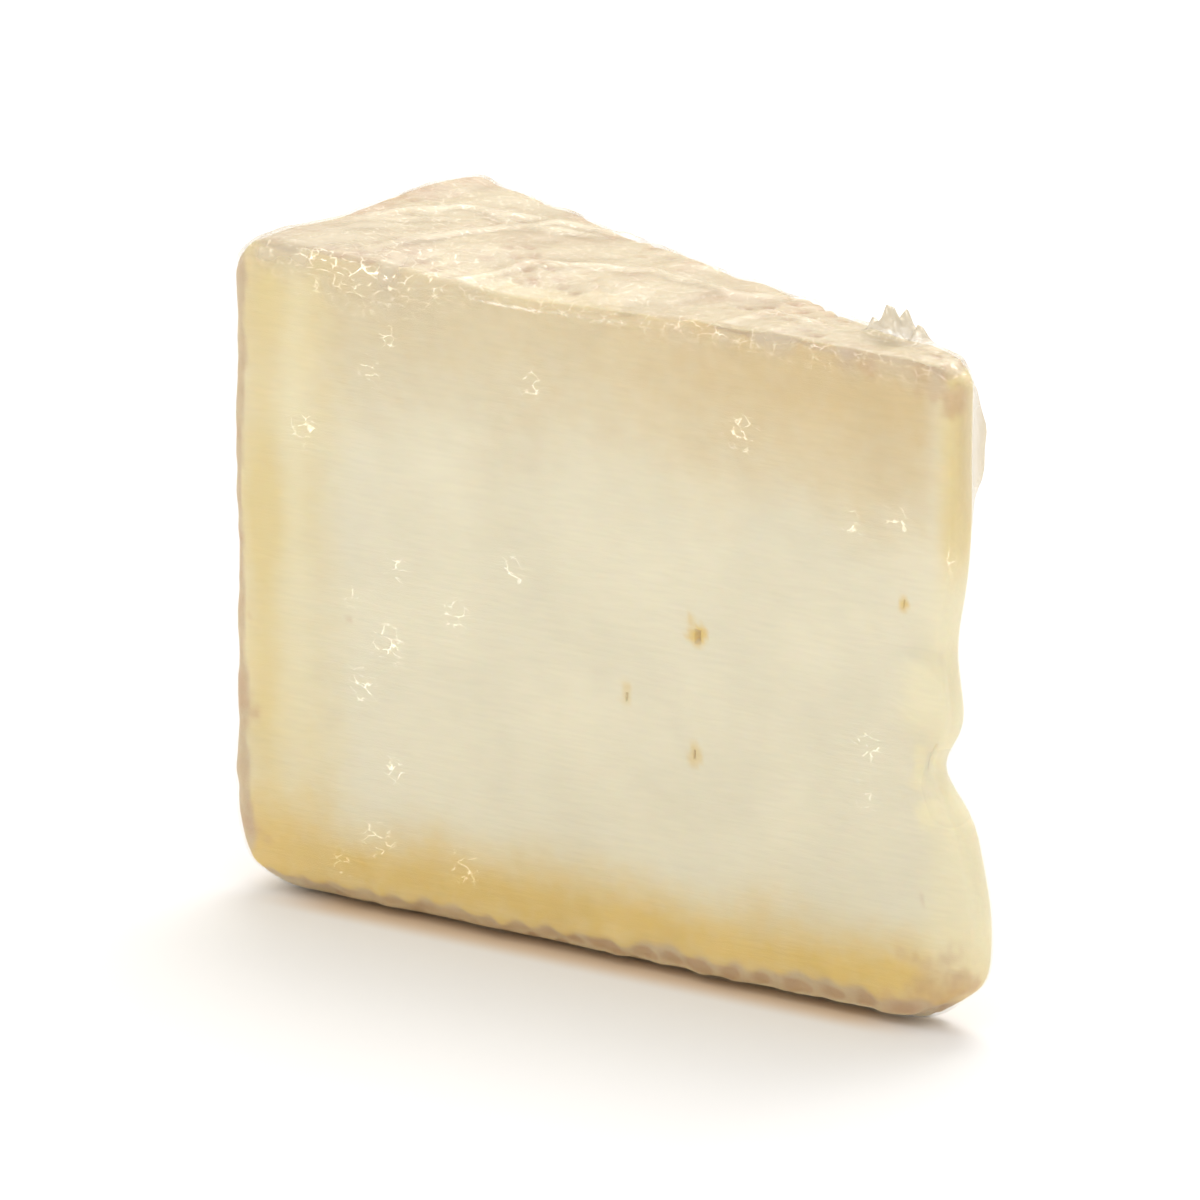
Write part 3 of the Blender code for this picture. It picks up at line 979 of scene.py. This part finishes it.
@dataclass(frozen=True)
class Crease:
    """A long fold of the film on top of the wedge.

    Attributes:
        route: Points (x, y) that the fold passes, in metres.
        height: How far it stands up.
        width: Half its width at the foot.
    """

    route: tuple[tuple[float, float], ...]
    height: float
    width: float = 1.0 * MM

    def relief(self, points: np.ndarray) -> np.ndarray:
        """Work out the fold's height, seen from above.

        Args:
            points: Points in the part's frame, as an (n, 3) array.

        Returns:
            The height at each point, in metres.
        """
        best = np.full(len(points), 1.0)
        flat = points[:, :2] + 0.5 * MM * np.stack(
            [noise_at(points, 5.0 * MM, 91.0), noise_at(points, 5.0 * MM, 92.0)], axis=1)
        for start, end in zip(self.route[:-1], self.route[1:]):
            a, b = np.array(start), np.array(end)
            run = b - a
            share = np.clip((flat - a) @ run / (run @ run), 0.0, 1.0)
            best = np.minimum(best, np.linalg.norm(flat - a - share[:, None] * run, axis=1))
        near_end = np.minimum(np.linalg.norm(flat - np.array(self.route[0]), axis=1),
                              np.linalg.norm(flat - np.array(self.route[-1]), axis=1))
        taper = smooth_step(0.0, 5.0 * MM, near_end)
        ridge = np.clip(1.0 - best / self.width, 0.0, 1.0) ** 1.3
        return self.height * ridge * (0.25 + 0.75 * taper)


def route_mm(*points: tuple[float, float]) -> tuple[tuple[float, float], ...]:
    """Turn a route given in millimetres into metres."""
    return tuple((x * MM, y * MM) for x, y in points)


CREASES = (
    Crease(route_mm((-42.0, -5.7), (-28.1, 0.0)), 0.40 * MM),
    Crease(route_mm((-31.2, -11.7), (-24.4, -0.1), (-20.3, 5.1), (-8.0, 6.0)), 0.44 * MM),
    Crease(route_mm((-19.9, -17.0), (-14.6, -9.1), (-5.5, -5.0)), 0.40 * MM),
    Crease(route_mm((-36.3, 6.5), (-35.1, 11.0)), 0.36 * MM),
    Crease(route_mm((-32.3, 4.8), (-22.9, 1.9), (-13.4, 3.1)), 0.48 * MM),
    Crease(route_mm((-41.1, -4.6), (-32.3, 3.9), (-20.6, 5.4)), 0.48 * MM),
    Crease(route_mm((-18.0, 4.5), (-10.9, 2.6)), 0.40 * MM),
    Crease(route_mm((-5.9, -1.6), (-4.6, 4.8)), 0.32 * MM),
    Crease(route_mm((-11.9, -6.8), (-1.4, -4.8), (11.4, -7.1)), 0.44 * MM),
    Crease(route_mm((9.3, -7.2), (16.4, -5.0), (20.6, -3.8)), 0.36 * MM),
    Crease(route_mm((5.0, -13.5), (6.5, -9.2)), 0.28 * MM),
    Crease(route_mm((14.0, -18.0), (16.6, -10.7), (26.2, -11.7)), 0.36 * MM),
    Crease(route_mm((24.9, -8.0), (31.2, -6.9), (38.0, -10.2)), 0.32 * MM),
)


# Where the drawn film over the front cut face catches the light: x, z and reach, in mm
GLINTS = (
    (-25.8, 38.1, 2.2), (-31.3, 33.6, 1.4), (-26.7, 29.6, 2.6), (-29.9, 24.5, 2.4),
    (-25.8, 16.0, 1.8), (-28.0, 8.2, 2.6), (-32.4, 5.0, 1.8), (-16.9, 7.4, 2.6),
    (-26.3, 62.4, 1.8), (-28.9, 58.6, 2.2), (-8.6, 60.3, 2.0), (-37.3, 51.1, 2.4),
    (17.7, 59.4, 2.8), (36.9, 53.6, 2.0), (31.2, 52.2, 1.6), (43.4, 50.3, 1.6),
    (33.4, 29.1, 2.4), (33.2, 23.6, 1.4), (-11.0, 40.0, 2.0), (-18.0, 34.0, 2.2),
)


@dataclass(frozen=True)
class Crumple:
    """How the film is creased at each of its vertices.

    Attributes:
        fold: Height of the creases and of the small tents between them, in metres.
        creased: Height of the long creases alone, as a share of a usual one.
        edge: How near the vertex is to the wedge's top edges, from 0 to 1.
        fin: How far the fold down the point stands off, in metres.
        gather: How high the pinch on top stands, in metres.
    """

    fold: np.ndarray
    creased: np.ndarray
    edge: np.ndarray
    fin: np.ndarray
    gather: np.ndarray


@dataclass
class FilmWrap:
    """The cling film: one sheet drawn round the wedge, lapped over its back.

    The sheet is cut just large enough to go round and lap.  The real film is about 0.01 mm
    thick; this one is as thick as it needs to be to stay a clean closed wall.
    """

    shape: WedgeShape
    place: WheelPlace
    cells: tuple[tuple[int, int], ...] = ((13, 12), (6, 10), (8, 8))
    crowding: tuple[float, float, float] = (0.15, 0.10, 0.50)
    relief: WedgeRelief = field(default_factory=WedgeRelief)
    gap: float = 0.13 * MM
    thickness: float = 0.03 * MM
    seam_radius: tuple[float, float] = (0.0520, 0.0545)
    lap_steps: int = 4
    lap_step: float = 0.85 * MM
    lap_lift: float = 0.16 * MM
    flat_size: tuple[float, float] = (0.170, 0.150)
    finish: FilmFinish = field(default_factory=FilmFinish)

    def _draw_lap(self, film: bpy.types.Object) -> int:
        """Open the seam in the back and draw its loose end out, over the layer below.

        Args:
            film: The film, still on the box.

        Returns:
            The index of the lap's first vertex.
        """
        half = self.shape.half_size
        tip_side, rim_side = (self.shape.tip_radius + half[0] - radius
                              for radius in self.seam_radius)
        make_active(film)
        bpy.ops.object.mode_set(mode="EDIT")
        bpy.ops.mesh.select_mode(type="FACE")
        bpy.ops.mesh.select_all(action="DESELECT")
        bm = bmesh.from_edit_mesh(film.data)
        for face in bm.faces:
            middle = face.calc_center_median()
            face.select_set(middle.y > half[1] * 0.999 and rim_side < middle.x < tip_side
                            and abs(middle.z) < half[2] - 5.0 * MM)
        bmesh.update_edit_mesh(film.data)
        bpy.ops.mesh.delete(type="FACE")
        bpy.ops.mesh.select_mode(type="EDGE")
        bpy.ops.mesh.select_all(action="DESELECT")
        bm = bmesh.from_edit_mesh(film.data)
        open_edges = [edge for edge in bm.edges if edge.is_boundary]
        near_x = max(vert.co.x for edge in open_edges for vert in edge.verts)
        for edge in open_edges:
            edge.select_set(all(vert.co.x > near_x - 0.01 * MM for vert in edge.verts))
        first = len(bm.verts)
        bmesh.update_edit_mesh(film.data)
        for _ in range(self.lap_steps):
            bpy.ops.mesh.extrude_region_move(
                TRANSFORM_OT_translate={"value": (-self.lap_step, 0.0, 0.0)})
        bpy.ops.object.mode_set(mode="OBJECT")
        return first

    def build(self) -> bpy.types.Object:
        """Model the film and dress it.

        Returns:
            The finished film.
        """
        film = box_grid("film", self.shape.half_size, self.cells, self.crowding)
        first_of_lap = self._draw_lap(film)
        box = read_points(film)
        is_lap = np.arange(len(box)) >= first_of_lap
        along_lap = np.where(is_lap, box[first_of_lap - 1:, 0].max() - box[:, 0], 0.0)
        along_lap = np.clip(along_lap / (self.lap_steps * self.lap_step), 0.0, 1.0)
        wander = noise_at(box * [0.0, 0.0, 1.0], 14.0 * MM, 68.0, octaves=2) * 0.8 * MM
        box[:, 0] += wander * along_lap ** 2
        wheel = self.shape.carry(box)
        points = wheel + self.place.origin
        write_points(film, points)
        normals = read_normals(film)
        skin = SkinMap.read(self.shape, wheel, normals)
        top = skin.on_top
        fold = np.zeros(len(points))
        for crease in CREASES:
            fold = np.maximum(fold, crease.relief(points))
        drawn = points * [0.35, 1.0, 1.0]
        tents = 1.0 - np.abs(noise_at(drawn, 3.2 * MM, 61.0))
        tents = np.clip(tents - 0.72, 0.0, 1.0) * 0.7 * MM
        tent_share = np.clip(0.35 + 0.65 * noise_at(points, 9.0 * MM, 62.0), 0.0, 1.0)
        creased = fold * top / (0.45 * MM)
        fold = np.maximum(fold, tents * tent_share) * top
        slack = noise_at(points, 7.0 * MM, 63.0, octaves=2)
        edge = np.exp(-((skin.below_top - 0.4 * MM) / (2.0 * MM)) ** 2) * (1.0 - 0.45 * top)
        edge_crumple = noise_at(points * [0.8, 0.8, 0.5], 2.2 * MM, 64.0, octaves=2)
        lift = self.gap + fold + 0.03 * MM * slack + 0.14 * MM * edge * np.abs(edge_crumple)
        lift = lift + is_lap * (self.lap_lift + 0.10 * MM * slack)
        lift = np.maximum(lift, 0.09 * MM) + self.relief.broad(skin) * smooth_step(
            0.0, 0.9 * MM, skin.above_foot)
        moved = points + normals * lift[:, None]
        fin, gather = self._tip_fin(skin), self._gather(points)
        moved[:, 0] += fin
        moved[:, 2] += gather
        moved[:, 2] = np.maximum(moved[:, 2], self.thickness)
        write_points(film, moved)
        self._paint(film, points, skin, Crumple(fold, creased, edge, fin, gather))
        make_active(film)
        wall = film.modifiers.new("film thickness", "SOLIDIFY")
        wall.thickness = self.thickness
        wall.offset = 1.0
        bpy.ops.object.modifier_apply(modifier=wall.name)
        bpy.ops.object.shade_smooth()
        film.data.materials.append(self.finish.build())
        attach(film, "root")
        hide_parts("film_wrap")
        return film

    def _paint(self, film: bpy.types.Object, points: np.ndarray, skin: SkinMap,
               crumple: Crumple) -> None:
        """Paint the three attributes that the finish reads: milk, crinkle and glint.

        Args:
            film: The film.
            points: Its vertices on the plain wedge, in the part's frame.
            skin: The same vertices.
            crumple: How the film is creased at each of them.
        """
        top = skin.on_top
        haze = 0.13 * top * smooth_step(0.002, -0.008, points[:, 1]) * smooth_step(
            -0.012, -0.030, points[:, 0])
        cloud = smooth_step(-0.2, 0.9, noise_at(points, 5.0 * MM, 83.0, octaves=2))
        left_crumple = bell(points[:, 0], -0.030, 0.009) * smooth_step(
            8.0 * MM, 2.0 * MM, skin.below_top) * (1.0 - 0.8 * top)
        corner = SoftSpot((-0.0424, -0.0168, 0.0688), (0.0013, 0.0030, 0.0012), (0, 0, 0))
        milk = np.clip(0.26 * crumple.creased ** 1.5 + crumple.fold / (0.6 * MM) * 0.08
                       + crumple.fin / MM * 0.22 + crumple.gather / MM * 0.26 + haze
                       + 0.24 * crumple.edge * (0.2 + cloud)
                       + 0.20 * left_crumple * (0.3 + cloud) + 0.03 * top * cloud
                       + 0.26 * corner.strength(points) + 0.012 * cloud, 0.0, 0.6)
        milk = milk * smooth_step(0.0005, 0.0020, skin.above_foot)
        crinkle = np.clip(0.30 * top + crumple.gather / MM + 0.5 * crumple.fin / MM
                          + 0.9 * crumple.edge + 0.8 * left_crumple + self._notch(points) * 0.9
                          + self._stipple(points), 0.03, 1.0)
        write_attribute(film, "milk", milk)
        write_attribute(film, "crinkle", crinkle)
        write_attribute(film, "glint", 0.75 * self._glints(points, skin) + 0.50 * crumple.edge
                        + 0.75 * left_crumple + 0.06 * top + 0.15 * crumple.gather / MM)

    def _tip_fin(self, skin: SkinMap) -> np.ndarray:
        """Work out the fold of film down the point.

        Args:
            skin: The film's vertices.

        Returns:
            How far it stands off at each vertex, in metres.
        """
        centre = smooth_step(0.30, 0.10, np.abs(skin.turn - 0.45))
        at_tip = smooth_step(2.0 * MM, 0.8 * MM, skin.from_tip) * centre
        ragged = 1.0 + 0.25 * noise_at(skin.wheel, 2.5 * MM, 66.0)
        high = bell(skin.above_foot, 0.0615, 0.0060) * 2.1 * MM
        low = bell(skin.above_foot, 0.0390, 0.0024) * 0.9 * MM
        return at_tip * (high + low) * ragged

    def _gather(self, points: np.ndarray) -> np.ndarray:
        """Work out the pinch of film on top.

        Args:
            points: The film's vertices in the part's frame.

        Returns:
            How high it stands at each vertex, in metres.
        """
        centre = np.array([0.0326, -0.0112])
        away = np.linalg.norm((points[:, :2] - centre) / np.array([3.2 * MM, 1.5 * MM]), axis=1)
        crumple = 0.75 + 0.6 * noise_at(points, 1.6 * MM, 71.0, octaves=2)
        on_top = smooth_step(0.066, 0.069, points[:, 2])
        return 2.8 * MM * np.exp(-away ** 3) * crumple * on_top

    def _notch(self, points: np.ndarray) -> np.ndarray:
        """Return how near each point is to the hollow below the middle of the point."""
        spot = SoftSpot((0.0430, self.place.origin[1], 0.0262), (0.004, 0.006, 0.005), (0, 0, 0))
        return spot.strength(points)

    def _glints(self, points: np.ndarray, skin: SkinMap) -> np.ndarray:
        """Work out where short bright strokes catch the light on the front face.

        Args:
            points: The film's vertices in the part's frame.
            skin: The same vertices.

        Returns:
            Their strength at each vertex, from 0 to 1.
        """
        total = np.zeros(len(points))
        front = skin.on_front
        for x_at, z_at, reach in GLINTS:
            away = np.hypot(points[:, 0] - x_at * MM, points[:, 2] - z_at * MM) / (reach * MM)
            total = np.maximum(total, front * smooth_step(1.0, 0.4, away))
        return total

    def _stipple(self, points: np.ndarray) -> np.ndarray:
        """Return the scattered patches of fine crinkle on the drawn faces."""
        patch = noise_at(points, 6.5 * MM, 81.0, octaves=2)
        return 0.30 * smooth_step(0.35, 0.95, patch)


# --------------------------------------------------------------------------- the studio


@dataclass(frozen=True)
class Softbox:
    """A square studio lamp: where it hangs, its side, and its face's brightness.

    The brightness is a multiple of a fully lit white surface.
    """

    name: str
    place: tuple[float, float, float]
    side: float
    brightness: float

    def hang(self) -> None:
        """Hang the lamp, facing the wedge."""
        lamp = bpy.data.lights.new(self.name, "AREA")
        lamp.shape = "SQUARE"
        lamp.size = self.side
        lamp.energy = self.brightness * math.pi * self.side * self.side
        holder = bpy.data.objects.new(self.name, lamp)
        holder.location = self.place
        aim = Vector((0.0, 0.0, 0.03)) - Vector(self.place)
        holder.rotation_euler = aim.to_track_quat("-Z", "Y").to_euler()
        bpy.context.scene.collection.objects.link(holder)


SOFTBOXES = (
    Softbox("key above and behind", (-0.35, 0.95, 1.75), 1.3, 3.6),
    Softbox("glint lamp at the left", (-1.10, -1.45, 0.62), 0.22, 14.0),
)


@dataclass
class Studio:
    """A white table under soft light, and the camera.

    The painted shadow is a faint warm tint painted on the table along the front edge of the foot.
    It stands in for the shade there, warmed by light that comes down through the cheese.  Each of
    its four pairs is where it starts and is full.
    """

    floor_size: float = 16.0
    floor_colour: str = "F4F3F2"
    # painted shadow: a warm brown tint on the table along the front of the foot, standing in for
    # the contact shadow there
    painted_shadow_colour: str = "E4CDB0"
    painted_shadow_in_front: tuple[float, float] = (-0.0210, -0.0165)
    painted_shadow_under: tuple[float, float] = (-0.0100, -0.0140)
    painted_shadow_at_point: tuple[float, float] = (0.0420, 0.0300)
    painted_shadow_at_rim: tuple[float, float] = (-0.0440, -0.0320)
    surround_low: float = 0.84
    surround_high: float = 1.00
    surround_colour: str = "FFFDFB"
    azimuth: float = math.radians(35.33)
    elevation: float = math.radians(16.36)
    distance: float = 2.0
    lens: float = 581.5
    aim: tuple[float, float, float] = (-0.01176, -0.00012, 0.03286)

    def build(self) -> None:
        """Lay the table, hang the lights and set the camera."""
        self._lay_table()
        self._set_surround()
        for softbox in SOFTBOXES:
            softbox.hang()
        self._set_camera()
        bpy.context.scene.view_settings.view_transform = "Standard"

    def _lay_table(self) -> None:
        """Lay the white table, with a warm shadow painted on it beside the foot."""
        deselect_all()
        bpy.ops.mesh.primitive_plane_add(size=self.floor_size, location=(0.0, 0.0, -0.01 * MM))
        table = bpy.context.object
        table.name = "table"
        material, tree = new_tree("white melamine table")
        place = add_node(tree, "ShaderNodeTexCoord").outputs["Object"]
        place = add_node(tree, "ShaderNodeSeparateXYZ", {0: place})
        # painted shadow: the table is tinted warm brown in a strip along the front of the foot
        painted_shadow = self._painted_shadow_step(tree, place.outputs["Y"], *self.painted_shadow_in_front)
        for axis, step in (("Y", self.painted_shadow_under), ("X", self.painted_shadow_at_point),
                           ("X", self.painted_shadow_at_rim)):
            here = self._painted_shadow_step(tree, place.outputs[axis], *step)
            painted_shadow = add_node(tree, "ShaderNodeMath", {0: painted_shadow, 1: here},
                            operation="MULTIPLY").outputs[0]
        colour = add_node(tree, "ShaderNodeMix", {
            0: painted_shadow, 6: linear_colour(self.floor_colour),
            7: linear_colour(self.painted_shadow_colour)}, data_type="RGBA").outputs[2]
        paint = add_node(tree, "ShaderNodeBsdfDiffuse", {"Color": colour})
        add_node(tree, "ShaderNodeOutputMaterial", {"Surface": paint.outputs[0]})
        table.data.materials.append(material)

    @staticmethod
    def _painted_shadow_step(tree: bpy.types.NodeTree, along: bpy.types.NodeSocket, start: float,
                   end: float) -> bpy.types.NodeSocket:
        """Add a smooth rise from 0 to 1 between two places along an axis of the table.

        Args:
            tree: The table's node tree.
            along: The place along the axis.
            start: Where the rise starts, in metres.
            end: Where it ends.

        Returns:
            The rise.
        """
        return add_node(tree, "ShaderNodeMapRange", {
            "Value": along, "From Min": start, "From Max": end},
            interpolation_type="SMOOTHSTEP").outputs[0]

    def _set_surround(self) -> None:
        """Light the scene from all round, less from low down, before a white backdrop."""
        world = bpy.data.worlds.new("studio surround")
        bpy.context.scene.world = world
        world.use_nodes = True
        tree = world.node_tree
        tree.nodes.clear()
        towards = add_node(tree, "ShaderNodeTexCoord").outputs["Generated"]
        upward = add_node(tree, "ShaderNodeSeparateXYZ", {0: towards}).outputs["Z"]
        dome = add_node(tree, "ShaderNodeMapRange", {
            "Value": upward, "From Min": 0.0, "From Max": 0.8,
            "To Min": self.surround_low, "To Max": self.surround_high}).outputs[0]
        seen = add_node(tree, "ShaderNodeLightPath").outputs["Is Camera Ray"]
        strength = add_node(tree, "ShaderNodeMix", {0: seen, 2: dome, 3: 1.0}).outputs[0]
        tint = add_node(tree, "ShaderNodeMix", {
            0: seen, 6: linear_colour(self.surround_colour), 7: (1.0, 1.0, 1.0, 1.0)},
            data_type="RGBA").outputs[2]
        light = add_node(tree, "ShaderNodeBackground", {"Color": tint, "Strength": strength})
        add_node(tree, "ShaderNodeOutputWorld", {"Surface": light.outputs[0]})

    def _set_camera(self) -> None:
        """Set the camera at the wedge's best side."""
        camera = bpy.data.cameras.new("camera")
        camera.lens = self.lens
        holder = bpy.data.objects.new("camera", camera)
        back = Vector((math.sin(self.azimuth) * math.cos(self.elevation),
                       -math.cos(self.azimuth) * math.cos(self.elevation),
                       math.sin(self.elevation)))
        holder.location = Vector(self.aim) + back * self.distance
        holder.rotation_euler = back.to_track_quat("Z", "Y").to_euler()
        bpy.context.scene.collection.objects.link(holder)
        bpy.context.scene.camera = holder


def main() -> None:
    """Build the wedge and its film, and write how large they came out."""
    logging.basicConfig(level=logging.INFO, format="%(name)s: %(message)s")
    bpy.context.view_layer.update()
    Studio().build()
    shape = WedgeShape()
    place = WheelPlace.of_part(shape)
    for maker in (CheeseWedge(shape, place), FilmWrap(shape, place)):
        piece = maker.build()
        LOG.info("%s has %d faces", piece.name, len(piece.data.polygons))


if __name__ == "__main__":
    main()
